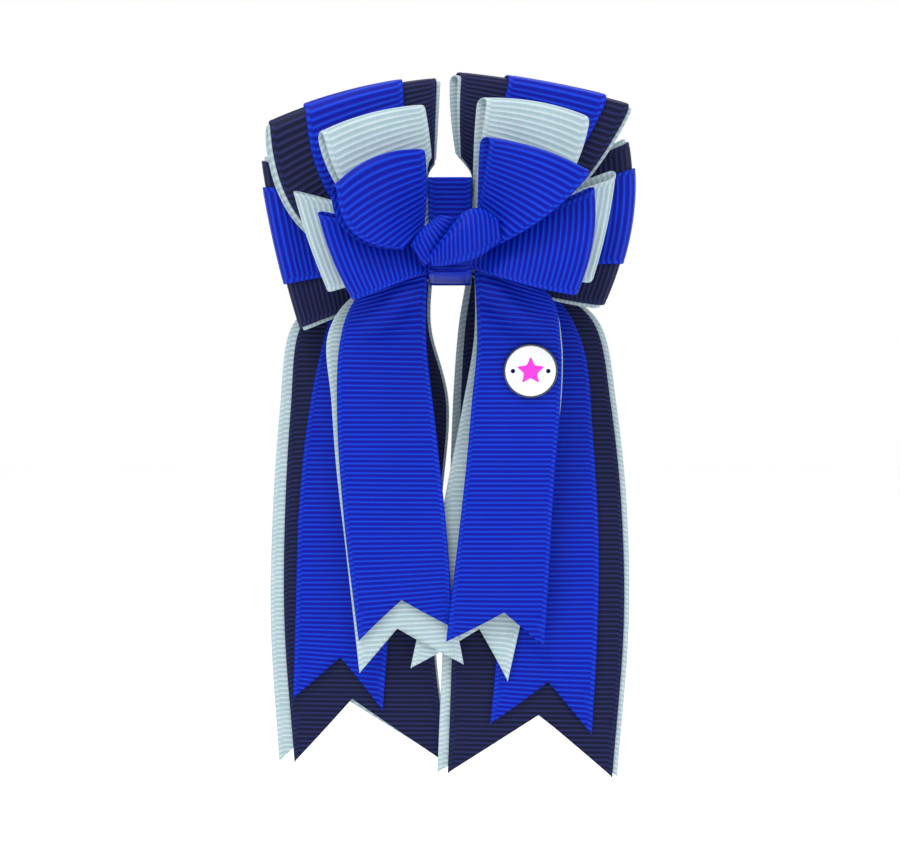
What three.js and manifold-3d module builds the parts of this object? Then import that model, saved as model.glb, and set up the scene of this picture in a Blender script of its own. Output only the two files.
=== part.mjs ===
// Layered ribbon bow: three stacked bows of looped grosgrain ribbon on a lined alligator clip, a knot,
// ten notched tails and a small round charm. Millimetres, +X right, +Y back, +Z up.
// The origin is on the clip plate's gripping face, behind the knot.
import * as THREE from "three";
import { mergeVertices } from "three/addons/utils/BufferGeometryUtils.js";
import Module from "manifold-3d";

const wasm = await Module();
wasm.setup();

// Driving dimensions
const NARROW = 22.2; // 7/8 inch grosgrain
const WIDE = 38.1; // 1 1/2 inch grosgrain
const RIBBON = 0.4; // thickness of one ribbon
const LAYER = 0.72; // from one ribbon of a stack to the next
const LOOP_ROWS = 22;
const TAIL_ROWS = 16;
const PROFILE_STEPS = 24;
const LOBE_ROWS = 12;
const LOBE_PLACES = [0, 0.2, 0.5, 0.8, 1];
const CROWN = 0.4; // rise of a loop's middle over its edges

const COLOURS = {
  royal: 0x0d2ebc,
  navy: 0x20264a,
  light: 0xb6d1d6,
  white: 0xf2f2f7,
  pink: 0xf028dc,
  metal: 0xb9bcc2,
};

// The three ribbons of the back bow: how far each lies outside the navy one, and its width.
const STACK = [
  { name: "lining", colour: "light", lift: -LAYER, width: WIDE },
  { name: "navy", colour: "navy", lift: 0, width: WIDE },
  { name: "stripe", colour: "royal", lift: LAYER, width: NARROW },
];

// Depth of the loops, from the root at the wrap to far out: y of the front wall and of the back wall.
// A loop's walls settle to their outer depth over SPREAD millimetres.
const SPREAD = 14;
const DEPTHS = {
  back_side: { front: [-3.6, -6.4], back: [-1.5, -1.5] },
  back_upper: { front: [-8.3, -14.1], back: [-6.2, -9.6] },
  middle_side: { front: [-11.6, -20], back: [-10.6, -17] },
  middle_upper: { front: [-14.2, -24.6], back: [-13.2, -21.6] },
  front_side: { front: [-18, -29.8], back: [-17, -26.7] },
  front_upper: { front: [-21.1, -34.8], back: [-20.1, -31.6] },
};

// Loops, seen from the front. root and fold: [x, z] of the ribbon's two edges at the wrap and at the fold.
// bow: how far each edge bows outwards on its way. arch: how far the fold's middle stands out from its ends.
// skew: how far the back wall has moved towards the second edge. slide: the same for the stripe.
const LOOPS = {
  back: {
    upper_left: {
      root: [[-5, -8], [-4, 2]],
      fold: [[-39.8, 24], [-2.9, 33.5]],
      bow: [12, 0],
      arch: 1.6,
      skew: -1,
      slide: 0.8,
    },
    upper_right: {
      root: [[4, 3], [5, -9]],
      fold: [[2.6, 34.6], [40.2, 27.7]],
      bow: [1, 4.5],
      arch: 0.8,
      skew: -1.8,
      slide: 2.5,
    },
    side_left: {
      root: [[-4, -10], [-4, 2]],
      fold: [[-34.1, -21.7], [-42.7, 16.2]],
      bow: [0, 2],
      arch: 0.8,
      skew: 1,
      slide: 2,
    },
    side_right: {
      root: [[4, -9], [4, 3]],
      fold: [[35, -16.6], [40.5, 20.4]],
      bow: [1, 0.5],
      arch: 3,
      skew: 1.2,
      slide: 1.5,
    },
  },
  middle: {
    upper_left: {
      root: [[-5, -6], [-4.2, 0]],
      fold: [[-27.2, 19.4], [-5.5, 25.2]],
      bow: [5, 1],
      arch: 1.1,
      skew: -1.5,
    },
    upper_right: {
      root: [[4.2, 0], [5, -6]],
      fold: [[7.9, 26.4], [30, 22.5]],
      bow: [0, 6],
      arch: 1.2,
      skew: -2,
    },
    side_left: {
      root: [[-4.5, -8], [-4.5, 0]],
      fold: [[-26.3, -14.8], [-33.8, 6.9]],
      bow: [0, 0],
      arch: 0.5,
      skew: 1,
    },
    side_right: {
      root: [[4.5, -8], [4.5, 0]],
      fold: [[30.7, -12.9], [35.7, 10]],
      bow: [0, 0],
      arch: 0.6,
      skew: 2.5,
    },
  },
  front: {
    upper_left: {
      root: [[-9.9, -6.4], [-5.6, -1]],
      fold: [[-23.5, 6.4], [-5.3, 14.5]],
      bow: [5, 0.5],
      arch: 2.2,
      skew: -1.5,
    },
    upper_right: {
      root: [[5.5, -1], [7, -6.5]],
      fold: [[8.4, 16.3], [29.4, 9]],
      bow: [0, 2.2],
      arch: 1.1,
      skew: -2,
    },
    side_left: {
      root: [[-4, -10.5], [-4, -3]],
      fold: [[-20.3, -17.5], [-27.5, 0.6]],
      bow: [0, 0],
      arch: 0.8,
      skew: 1.5,
    },
    side_right: {
      root: [[4, -9.5], [4, -5]],
      fold: [[26.6, -16.4], [30.2, 5.8]],
      bow: [0.8, 0],
      arch: 1.6,
      skew: 1.5,
    },
  },
};
const LINING_OUTSET = 0.8; // how far a loop's lining stands out past the navy ribbon's edges

// Band of 3/8 inch ribbon around the roots of the rear bows: half its width, z of its ends, y of its back,
// and its front, which follows the loops' depth.
const WRAP = { half: 4.75, z: [-11, 10.5], back: 0.3, front: [-15.95, -26.1], thick: 0.45 };
const CLEAR = 4.95; // the ribbons pass the wrap's top and bottom at least this far out

// Knot: rows of [x, z of one edge, x, z of the other edge, y of the edges, y of the middle].
const KNOT = {
  left: [
    [-8.4, -5.3, -5.6, -9.8, -26.2, -27],
    [-6.4, -2.4, -3.4, -8.2, -26.4, -28],
    [-4.3, -0.4, -1, -4.5, -25.8, -27.4],
    [-2.4, 1.2, 1.8, 1, -24, -25],
  ],
  right: [
    [10.2, -0.2, 10.8, -4.5, -28.4, -29],
    [6.6, 2.2, 7.1, -7.4, -28, -30.6],
    [2.8, 1.2, 3.2, -9.1, -28.6, -31.6],
    [-1, -3.6, -1, -9.9, -29, -31],
    [-4.4, -8, -3.8, -10, -28.6, -29],
  ],
};

// Tails: rows of [x, z of the left edge, x, z of the right edge, y], from the hinge to the two tips.
// apex: where across the width the notch ends. notch: how far it is cut in.
const TAILS = {
  back: {
    left: {
      rows: [
        [-27, -14, -5, -10.5, 2.3],
        [-35, -21.5, -5, -21.5, 2.3],
        [-37, -40, -0.9, -39, 2.1],
        [-38.3, -65, -2.6, -63, 1.8],
        [-38.3, -91, -4, -91, 1.4],
        [-36, -121.5, -0.6, -122, 1.2],
      ],
      apex: 0.42,
      notch: 15,
    },
    right: {
      rows: [
        [5, -10.5, 27, -14, 2.3],
        [3.5, -21.5, 34.2, -21.5, 2.3],
        [2.5, -38, 37.2, -38, 1.6],
        [1.8, -62, 39.6, -62, 0.6],
        [0.7, -90, 40, -90, -0.6],
        [-0.5, -123.5, 37.3, -124.5, -1.1],
      ],
      apex: 0.53,
      notch: 14,
    },
  },
  stripe: {
    left: {
      rows: [
        [-25, -13.7, -9, -11.1, 2.3],
        [-29.3, -24, -8.3, -24, 2.3],
        [-33, -43, -11.2, -43, 2.1],
        [-35, -64, -13, -64, 1.8],
        [-35.6, -85, -13.8, -85, 1.5],
        [-36.2, -106.5, -15.5, -109.5, 1.3],
      ],
      apex: 0.5,
      notch: 11,
    },
    right: {
      rows: [
        [8, -11, 24, -13.5, 2.3],
        [9.5, -26, 31, -26, 2.1],
        [11, -46, 33, -46, 1.3],
        [11.6, -70, 34.2, -70, 0.2],
        [11, -92, 33.8, -92, -0.7],
        [9.2, -112, 32.5, -114.5, -1],
      ],
      apex: 0.53,
      notch: 11,
    },
  },
  middle: {
    left: {
      rows: [
        [-22, -15, -5.5, -10.5, -10.4],
        [-27.5, -24, -6, -24, -9.6],
        [-26.7, -38, -4.5, -38, -8.2],
        [-25.6, -54, -3.5, -54, -6.8],
        [-23.4, -74, -1.2, -74, -5.4],
        [-20.6, -100, 3.1, -98, -4.4],
      ],
      apex: 0.42,
      notch: 9.5,
    },
    right: {
      rows: [
        [5.5, -10.5, 22, -15, -10.4],
        [5.4, -24, 25, -24, -9.2],
        [2.9, -39, 25, -39, -7.2],
        [-0.2, -55, 22.4, -55, -5.9],
        [-4, -75, 19, -75, -4.5],
        [-9, -99, 13.2, -102, -3.6],
      ],
      apex: 0.6,
      notch: 11,
    },
  },
  front: {
    left: {
      rows: [
        [-20.2, -14.8, -5, -9.8, -13.6],
        [-24.5, -25.5, -5.2, -25.5, -12.6],
        [-25.2, -44, -3.2, -44, -9.8],
        [-23.7, -67, -0.8, -67, -7.4],
        [-20.7, -92.5, 0.8, -89.5, -5.8],
      ],
      apex: 0.49,
      notch: 8,
    },
    right: {
      rows: [
        [5.4, -9.8, 22, -14.8, -14],
        [6, -25, 24.5, -25, -13.4],
        [4.9, -38, 24.6, -38, -11.6],
        [3.3, -56, 23.3, -56, -9.6],
        [0.6, -80, 22.1, -80, -7.6],
        [-0.9, -92.5, 21.3, -93.7, -6.8],
      ],
      apex: 0.56,
      notch: 7.5,
    },
  },
};
const TAIL_CROWN = 0.5; // rise of a tail's middle over its edges
const NOTCH_RUN = 0.3; // share of a tail's length over which its rows turn into the notch

// Charm on the front right tail: centre, radius, thickness and backward lean.
const CHARM = { x: 17.8, y: -13.5, z: -31.5, radius: 6, thick: 0.95, lean: 8.5, hole: 0.5, holeAt: 3.9 };
const CHARM_CUP = { wall: 0.55, floor: 0.4, sides: 40 };
const CHARM_STAR = { outer: 3.1, inner: 1.35, foot: 0.75 };
const CHARM_GAP = { side: 0.1, under: 0.05, top: 0.05 }; // between the cup, the enamel and the star

// Alligator clip. The grip face of its base plate is the plane y = 0.
const CLIP = { left: -23, right: 23, half: 4.8, plate: 0.8, pinX: 9, pinY: 3.2, pinRadius: 0.75 };
const EAR = { low: 3.4, high: 1.5, over: 1.6, thick: 0.6 }; // half its foot and top, its height over the pin
const JAW_EAR = { foot: 3, tip: 1.4, under: 1.5, thick: 0.6, front: 5.9, back: 6.8 };
const JAW = { thick: 0.8, inset: 1, bore: 0.2, steps: 30 };
// x and y of the middle of the jaw's curved plate
const JAW_LINE = [[-22, 0.9], [-12, 1.7], [-2, 3.4], [4, 5.6], [9, 6.6], [13, 7], [22.4, 10]];
const TEETH = { length: 7, pitch: 1.6, width: 0.9, tip: 0.35, root: 0.9, top: 1.3 };
const PIN_HEAD = { thick: 0.5, over: 0.6, gap: 0.2 };
const PIN_GAP = 0.1;
const PLATE_CORNER = 2.4;
const SPRING = { radius: 1.7, wire: 0.35, turns: 4, half: 2.4, sides: 12 };
const CLIP_LINING = { left: 0.5, right: 1, back: -1.1, front: -1.5, corner: 1 };
const CLIP_STACK = 2.3; // from the grip face forward to the back of the ribbons

const RAD = Math.PI / 180;
const mix = (a, b, t) => a + (b - a) * t;
const smooth = (t) => t * t * (3 - 2 * t);
const clamp01 = (t) => Math.min(1, Math.max(0, t));

// How far towards the outer depth a wall has come at a distance from the middle of the bow.
const settled = (distance) => 1 - Math.exp(-((distance / SPREAD) ** 2));
const wallY = (ys, distance) => mix(ys[0], ys[1], settled(distance));

// Profile of a loop from the side: rows of [way out from the root, share of the way from front to back].
function loopProfile(depth, length) {
  const radius = (wallY(depth.back, length) - wallY(depth.front, length)) / 2;
  const wall = length - radius;
  const fine = [];
  for (let i = 0; i <= PROFILE_STEPS; i++) fine.push([(wall * i) / PROFILE_STEPS, -radius]);
  for (let i = 1; i < PROFILE_STEPS; i++) {
    const a = (Math.PI * i) / PROFILE_STEPS;
    fine.push([wall + radius * Math.sin(a), -radius * Math.cos(a)]);
  }
  for (let i = PROFILE_STEPS; i >= 0; i--) fine.push([(wall * i) / PROFILE_STEPS, radius]);
  return resample(fine, LOOP_ROWS).map(([way, y]) => [way, (y / radius + 1) / 2]);
}

// Evenly spaced points on a polyline in the plane.
function resample(points, rows) {
  const arc = [0];
  for (let i = 1; i < points.length; i++) {
    arc.push(arc[i - 1] + Math.hypot(points[i][0] - points[i - 1][0], points[i][1] - points[i - 1][1]));
  }
  const out = [];
  for (let r = 0; r < rows; r++) {
    const s = (arc.at(-1) * r) / (rows - 1);
    let i = 1;
    while (i < points.length - 1 && arc[i] < s) i++;
    const f = (s - arc[i - 1]) / (arc[i] - arc[i - 1]);
    out.push([mix(points[i - 1][0], points[i][0], f), mix(points[i - 1][1], points[i][1], f)]);
  }
  return out;
}

// Keeps a point of a ribbon beside the wrap where the wrap turns over its top and bottom.
function besideWrap(x, z) {
  const above = smooth(clamp01((z - 3) / 4)) * smooth(clamp01((20 - z) / 8));
  const below = smooth(clamp01((-z - 6.5) / 4));
  return Math.sign(x) * Math.max(Math.abs(x), CLEAR * Math.max(above, below));
}

// One edge of a loop as a curve in the plane: its root, its fold, and its bow away from the other edge.
function edgeCurve(root, fold, bow, other) {
  const run = fold.clone().sub(root);
  const away = new THREE.Vector2(-run.y, run.x).normalize();
  if (away.dot(other.clone().sub(fold)) > 0) away.negate();
  return (f) => root.clone().addScaledVector(run, f).addScaledVector(away, bow * 4 * f * (1 - f));
}

// Grid of a loop's middle surface: for each row of its profile, one point for each share of the width.
function loopGrid(spec, depth, shares) {
  const [root, fold] = [spec.root, spec.fold].map((ends) => ends.map((end) => new THREE.Vector2(...end)));
  const edges = [0, 1].map((k) => edgeCurve(root[k], fold[k], spec.bow[k], fold[1 - k]));
  const out = fold[0].clone().add(fold[1]).sub(root[0]).sub(root[1]).divideScalar(2);
  const length = out.length();
  out.normalize();
  const across = fold[1].clone().sub(fold[0]).normalize();
  return loopProfile(depth, length).map(([way, toBack]) => {
    const f = clamp01(way / length);
    return shares.map((q) => {
      const rise = 4 * q * (1 - q);
      const at = edges[0](f).lerp(edges[1](f), q);
      at.addScaledVector(out, spec.arch * rise * f * f);
      at.addScaledVector(across, spec.skew * toBack * smooth(f));
      const x = besideWrap(at.x, at.y);
      const distance = Math.hypot(x, at.y);
      const y = mix(wallY(depth.front, distance), wallY(depth.back, distance), toBack);
      return new THREE.Vector3(x, y - CROWN * rise * f * (1 - 2 * toBack), at.y);
    });
  });
}

// Unit normals of a grid, on the outside of a loop whose first row is its front.
function gridNormals(grid) {
  const last = grid.length - 1;
  const lastColumn = grid[0].length - 1;
  const normals = grid.map((row, i) =>
    row.map((_, j) => {
      const run = grid[Math.min(i + 1, last)][j].clone().sub(grid[Math.max(i - 1, 0)][j]);
      const over = row[Math.min(j + 1, lastColumn)].clone().sub(row[Math.max(j - 1, 0)]);
      return over.cross(run).normalize();
    }),
  );
  const turn = normals[Math.floor(last / 4)][1].y > 0 ? -1 : 1;
  normals.forEach((row) => row.forEach((n) => n.multiplyScalar(turn)));
  return normals;
}

// A copy of a grid, moved along its normals.
function lifted(grid, lift) {
  const normals = gridNormals(grid);
  return grid.map((row, i) => row.map((p, j) => p.clone().addScaledVector(normals[i][j], lift)));
}

// A closed thin solid around a grid of points, RIBBON thick.
function solidFromGrid(grid) {
  const rows = grid.length;
  const columns = grid[0].length;
  const normalAt = (i, j) => {
    const run = grid[Math.min(i + 1, rows - 1)][j].clone().sub(grid[Math.max(i - 1, 0)][j]);
    const over = grid[i][Math.min(j + 1, columns - 1)].clone().sub(grid[i][Math.max(j - 1, 0)]);
    return over.cross(run).normalize();
  };
  const positions = [];
  for (const sign of [1, -1]) {
    for (let i = 0; i < rows; i++) {
      for (let j = 0; j < columns; j++) {
        const p = grid[i][j].clone().addScaledVector(normalAt(i, j), (sign * RIBBON) / 2);
        positions.push(p.x, p.y, p.z);
      }
    }
  }
  const top = (i, j) => i * columns + j;
  const bottom = (i, j) => rows * columns + i * columns + j;
  const index = [];
  const quad = (a, b, c, d) => index.push(a, b, c, a, c, d);
  for (let i = 0; i < rows - 1; i++) {
    for (let j = 0; j < columns - 1; j++) {
      quad(top(i, j), top(i, j + 1), top(i + 1, j + 1), top(i + 1, j));
      quad(bottom(i, j), bottom(i + 1, j), bottom(i + 1, j + 1), bottom(i, j + 1));
    }
    quad(top(i, 0), top(i + 1, 0), bottom(i + 1, 0), bottom(i, 0));
    quad(top(i + 1, columns - 1), top(i, columns - 1), bottom(i, columns - 1), bottom(i + 1, columns - 1));
  }
  for (let j = 0; j < columns - 1; j++) {
    quad(top(0, j + 1), top(0, j), bottom(0, j), bottom(0, j + 1));
    quad(top(rows - 1, j), top(rows - 1, j + 1), bottom(rows - 1, j + 1), bottom(rows - 1, j));
  }
  const geometry = new THREE.BufferGeometry();
  geometry.setAttribute("position", new THREE.Float32BufferAttribute(positions, 3));
  geometry.setIndex(index);
  geometry.computeVertexNormals();
  return geometry;
}

// Catmull-Rom curve through rows of numbers.
function blendRows(rows, t) {
  const x = clamp01(t) * (rows.length - 1);
  const i = Math.min(Math.floor(x), rows.length - 2);
  const f = x - i;
  return rows[i].map((p1, k) => {
    const p2 = rows[i + 1][k];
    const p0 = i > 0 ? rows[i - 1][k] : 2 * p1 - p2;
    const p3 = i + 2 < rows.length ? rows[i + 2][k] : 2 * p2 - p1;
    const cubic = -p0 + 3 * p1 - 3 * p2 + p3;
    return (2 * p1 + (p2 - p0) * f + (2 * p0 - 5 * p1 + 4 * p2 - p3) * f * f + cubic * f ** 3) / 2;
  });
}

// Grid of a tail. The notch pulls its middle columns up over the last stretch.
function tailGrid(spec, { lift = 0, outset = 0, wide = false }) {
  const { apex } = spec;
  const columns = wide ? [0, apex / 2, apex, (1 + apex) / 2, 1] : [0, apex, 1];
  const grid = [];
  for (let r = 0; r < TAIL_ROWS; r++) {
    const t = r / (TAIL_ROWS - 1);
    const [xl, zl, xr, zr, y] = blendRows(spec.rows, t);
    const pull = spec.notch * smooth(clamp01((t - 1 + NOTCH_RUN) / NOTCH_RUN));
    const row = columns.map((q) => {
      const toApex = q < apex ? q / apex : (1 - q) / (1 - apex);
      const rise = TAIL_CROWN * (1 - (2 * q - 1) ** 2);
      const x = mix(xl - outset, xr + outset, q);
      return new THREE.Vector3(x, y - lift - rise, mix(zl, zr, q) + pull * toApex);
    });
    grid.push(row);
  }
  return grid;
}

// Grid of a knot lobe: a band whose middle bulges forward.
function lobeGrid(rows) {
  const grid = [];
  for (let r = 0; r < LOBE_ROWS; r++) {
    const [ax, az, bx, bz, yEdge, yMiddle] = blendRows(rows, r / (LOBE_ROWS - 1));
    grid.push(
      LOBE_PLACES.map((q) => {
        const y = mix(yEdge, yMiddle, 1 - (2 * q - 1) ** 2);
        return new THREE.Vector3(mix(ax, bx, q), y, mix(az, bz, q));
      }),
    );
  }
  return grid;
}

const bow = new THREE.Group();
const ribbons = new THREE.Group(); // the ribbons lie in front of the clip
ribbons.position.y = -CLIP_STACK;
bow.add(ribbons);

function addMesh(group, name, geometry, colour, roughness = 0.8, metalness = 0) {
  const material = new THREE.MeshStandardMaterial({ color: COLOURS[colour], roughness, metalness });
  const mesh = new THREE.Mesh(geometry, material);
  mesh.name = name;
  group.add(mesh);
  return mesh;
}

const depthOf = (tier, place) => DEPTHS[`${tier}_${place.split("_")[0]}`];

// Shares of the wide ribbon's width at which its points and the stripe's lie.
function wideShares(slide, outset) {
  const stripe = [-NARROW / 2, 0, NARROW / 2].map((place) => 0.5 + (place + slide) / WIDE);
  return [-outset / WIDE, ...stripe, 1 + outset / WIDE];
}

function addLoops() {
  for (const [place, spec] of Object.entries(LOOPS.back)) {
    for (const layer of STACK) {
      const shares = wideShares(spec.slide, layer.name === "lining" ? LINING_OUTSET : 0);
      const whole = lifted(loopGrid(spec, depthOf("back", place), shares), layer.lift);
      const part = layer.width === WIDE ? whole : whole.map((row) => row.slice(1, -1));
      addMesh(ribbons, `back_loop_${place}_${layer.name}`, solidFromGrid(part), layer.colour);
    }
  }
  for (const [tier, colour] of [["middle", "light"], ["front", "royal"]]) {
    for (const [place, spec] of Object.entries(LOOPS[tier])) {
      const grid = loopGrid(spec, depthOf(tier, place), [0, 0.5, 1]);
      addMesh(ribbons, `${tier}_loop_${place}`, solidFromGrid(grid), colour);
    }
  }
}

function addTails() {
  for (const side of ["left", "right"]) {
    const navy = TAILS.back[side];
    const lining = tailGrid(navy, { lift: -LAYER, outset: 1.4, wide: true });
    addMesh(ribbons, `back_tail_${side}_lining`, solidFromGrid(lining), "light");
    addMesh(ribbons, `back_tail_${side}_navy`, solidFromGrid(tailGrid(navy, { wide: true })), "navy");
    const stripe = tailGrid(TAILS.stripe[side], { lift: LAYER + TAIL_CROWN });
    addMesh(ribbons, `back_tail_${side}_stripe`, solidFromGrid(stripe), "royal");
    addMesh(ribbons, `middle_tail_${side}`, solidFromGrid(tailGrid(TAILS.middle[side], {})), "light");
    addMesh(ribbons, `front_tail_${side}`, solidFromGrid(tailGrid(TAILS.front[side], {})), "royal");
  }
}

// A closed band: a flattened ring in the YZ plane, as wide as the wrap.
function addWrap() {
  const [low, high] = WRAP.z;
  const outline = [];
  const frontSteps = 12;
  for (let i = 0; i <= frontSteps; i++) {
    const z = mix(low, high, i / frontSteps);
    outline.push([wallY(WRAP.front, Math.hypot(WRAP.half, z)), z]);
  }
  outline.push([WRAP.back - 1.5, high + 0.4], [WRAP.back, high - 1]);
  outline.push([WRAP.back, low + 1], [WRAP.back - 1.5, low - 0.4]);
  const middle = new THREE.Vector2(-8, 0.5);
  const rings = [-WRAP.half, WRAP.half].map((x) =>
    [0, WRAP.thick].map((inset) =>
      outline.map(([y, z], i) => {
        const before = new THREE.Vector2(...outline.at(i - 1));
        const after = new THREE.Vector2(...outline[(i + 1) % outline.length]);
        const run = after.sub(before).normalize();
        const inward = new THREE.Vector2(-run.y, run.x);
        if (inward.dot(middle.clone().sub(new THREE.Vector2(y, z))) < 0) inward.negate();
        return new THREE.Vector3(x, y + inward.x * inset, z + inward.y * inset);
      }),
    ),
  );
  const loops = [rings[0][0], rings[1][0], rings[1][1], rings[0][1]];
  addMesh(ribbons, "centre_wrap", solidFromLoops(loops), "royal");
}

// A closed tube whose cross-section has a point on each of the given closed loops of points.
function solidFromLoops(loops) {
  const count = loops[0].length;
  const positions = loops.flat().flatMap((p) => [p.x, p.y, p.z]);
  const index = [];
  loops.forEach((_, k) => {
    const next = (k + 1) % loops.length;
    for (let i = 0; i < count; i++) {
      const j = (i + 1) % count;
      const [a, b, c, d] = [k * count + i, k * count + j, next * count + j, next * count + i];
      index.push(a, b, c, a, c, d);
    }
  });
  const geometry = new THREE.BufferGeometry();
  geometry.setAttribute("position", new THREE.Float32BufferAttribute(positions, 3));
  geometry.setIndex(index);
  return outward(geometry);
}

// The same geometry with its faces turned outwards if they pointed in.
function outward(geometry) {
  const p = geometry.attributes.position;
  const [a, b, c] = [new THREE.Vector3(), new THREE.Vector3(), new THREE.Vector3()];
  let volume = 0;
  const { array } = geometry.index;
  for (let i = 0; i < array.length; i += 3) {
    a.fromBufferAttribute(p, array[i]);
    b.fromBufferAttribute(p, array[i + 1]);
    c.fromBufferAttribute(p, array[i + 2]);
    volume += a.dot(b.cross(c));
  }
  if (volume < 0) {
    for (let i = 0; i < array.length; i += 3) [array[i], array[i + 1]] = [array[i + 1], array[i]];
  }
  geometry.computeVertexNormals();
  return geometry;
}

function addKnot() {
  addMesh(ribbons, "knot_lobe_left", solidFromGrid(lobeGrid(KNOT.left)), "royal");
  addMesh(ribbons, "knot_lobe_right", solidFromGrid(lobeGrid(KNOT.right)), "royal");
}

// Manifold solid of a three.js geometry, and back.
function solidOf(geometry) {
  const bare = geometry.index ? geometry.toNonIndexed() : geometry.clone();
  bare.deleteAttribute("normal");
  bare.deleteAttribute("uv");
  const merged = mergeVertices(bare, 1e-4);
  const mesh = new wasm.Mesh({
    numProp: 3,
    vertProperties: merged.attributes.position.array,
    triVerts: new Uint32Array(merged.index.array),
  });
  return new wasm.Manifold(mesh);
}

function geometryOf(solid) {
  const mesh = solid.getMesh();
  const geometry = new THREE.BufferGeometry();
  geometry.setAttribute("position", new THREE.BufferAttribute(mesh.vertProperties, 3));
  geometry.setIndex(new THREE.BufferAttribute(mesh.triVerts, 1));
  geometry.computeVertexNormals();
  return geometry;
}

// An outline of [x, y] points drawn along Z from one height to another.
function prism(points, z0, z1) {
  const shape = new THREE.Shape(points.map(([x, y]) => new THREE.Vector2(x, y)));
  const geometry = new THREE.ExtrudeGeometry(shape, { depth: z1 - z0, bevelEnabled: false });
  return solidOf(geometry.translate(0, 0, z0));
}

// A round bar along Z.
function bar(radius, x, y, z0, z1, sides = 24) {
  const geometry = new THREE.CylinderGeometry(radius, radius, z1 - z0, sides);
  return solidOf(geometry.rotateX(Math.PI / 2).translate(x, y, (z0 + z1) / 2));
}

// Outline of a strip of sheet metal that follows a middle line of [x, y] points.
function sheetOutline(line, thick) {
  const over = line.map(([x, y]) => [x, y + thick / 2]);
  const under = line.map(([x, y]) => [x, y - thick / 2]);
  return [...under, ...over.reverse()];
}

function roundedPlate(x0, x1, half, corner, y0, y1) {
  const shape = new THREE.Shape();
  shape.moveTo(x0 + corner, -half);
  shape.lineTo(x1 - corner, -half);
  shape.absarc(x1 - corner, -half + corner, corner, -Math.PI / 2, 0, false);
  shape.absarc(x1 - corner, half - corner, corner, 0, Math.PI / 2, false);
  shape.absarc(x0 + corner, half - corner, corner, Math.PI / 2, Math.PI, false);
  shape.absarc(x0 + corner, -half + corner, corner, Math.PI, 1.5 * Math.PI, false);
  const extrusion = { depth: y1 - y0, bevelEnabled: false, curveSegments: 6 };
  const geometry = new THREE.ExtrudeGeometry(shape, extrusion);
  return solidOf(geometry.rotateX(Math.PI / 2).translate(0, y1, 0));
}

function clipBase() {
  const { pinX, pinY, pinRadius, half, plate } = CLIP;
  let base = roundedPlate(CLIP.left, CLIP.right, half, PLATE_CORNER, -plate, 0);
  const [foot, top] = [-plate / 2, pinY + EAR.over];
  const ear = [[pinX - EAR.low, foot], [pinX + EAR.low, foot], [pinX + EAR.high, top], [pinX - EAR.high, top]];
  base = base.add(prism(ear, -half, -half + EAR.thick));
  base = base.add(prism(ear, half - EAR.thick, half));
  return base.subtract(bar(pinRadius + PIN_GAP, pinX, pinY, -half - 1, half + 1));
}

function clipJaw() {
  const { pinX, pinY, pinRadius, half } = CLIP;
  const side = half - JAW.inset;
  const curve = new THREE.SplineCurve(JAW_LINE.map(([x, y]) => new THREE.Vector2(x, y)));
  const line = curve.getPoints(JAW.steps).map((p) => [p.x, p.y]);
  let jaw = prism(sheetOutline(line, JAW.thick), -side, side);
  const start = JAW_LINE[0][0];
  const { width, tip, root, top } = TEETH;
  for (let x = start; x < start + TEETH.length; x += TEETH.pitch) {
    jaw = jaw.add(prism([[x, tip], [x + width, root], [x + width, top], [x, top]], -side, side));
  }
  const low = pinY - JAW_EAR.under;
  const ear = [
    [pinX - JAW_EAR.foot, JAW_EAR.front],
    [pinX - JAW_EAR.tip, low],
    [pinX + JAW_EAR.tip, low],
    [pinX + JAW_EAR.foot, JAW_EAR.back],
  ];
  jaw = jaw.add(prism(ear, -side, -side + JAW_EAR.thick));
  jaw = jaw.add(prism(ear, side - JAW_EAR.thick, side));
  return jaw.subtract(bar(pinRadius + JAW.bore, pinX, pinY, -half, half));
}

function clipPin() {
  const { pinX, pinY, pinRadius, half } = CLIP;
  const head = PIN_HEAD.thick;
  const end = half + PIN_HEAD.gap;
  let pin = bar(pinRadius, pinX, pinY, -end - head / 2, end + head / 2);
  for (const z of [-end - head, end]) pin = pin.add(bar(pinRadius + PIN_HEAD.over, pinX, pinY, z, z + head));
  return pin;
}

// Torsion spring: a helix of wire around the pin.
class Helix extends THREE.Curve {
  getPoint(t, target = new THREE.Vector3()) {
    const a = 2 * Math.PI * SPRING.turns * t;
    const z = mix(-SPRING.half, SPRING.half, t);
    return target.set(CLIP.pinX + SPRING.radius * Math.cos(a), CLIP.pinY + SPRING.radius * Math.sin(a), z);
  }
}

function springGeometry() {
  const section = new THREE.Shape();
  section.absarc(0, 0, SPRING.wire, 0, 2 * Math.PI, false);
  const steps = SPRING.turns * SPRING.sides;
  const extrusion = { steps, curveSegments: 3, extrudePath: new Helix(), bevelEnabled: false };
  return new THREE.ExtrudeGeometry(section, extrusion);
}

function addClip() {
  addMesh(bow, "clip_base", geometryOf(clipBase()), "metal", 0.3, 1);
  addMesh(bow, "clip_jaw", geometryOf(clipJaw()), "metal", 0.3, 1);
  addMesh(bow, "clip_pin", geometryOf(clipPin()), "metal", 0.3, 1);
  addMesh(bow, "clip_spring", springGeometry(), "metal", 0.3, 1);
  const [start, end] = [CLIP.left - CLIP_LINING.left, CLIP.right - CLIP_LINING.right];
  const { corner, front, back } = CLIP_LINING;
  const lining = roundedPlate(start, end, CLIP.half, corner, front, back);
  addMesh(bow, "clip_lining", geometryOf(lining), "royal");
}

// Points of a five-pointed star.
function starPoints(outer, inner) {
  const points = [];
  for (let i = 0; i < 10; i++) {
    const radius = i % 2 ? inner : outer;
    const a = Math.PI / 2 + (Math.PI * i) / 5;
    points.push([radius * Math.cos(a), radius * Math.sin(a)]);
  }
  return points;
}

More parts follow.
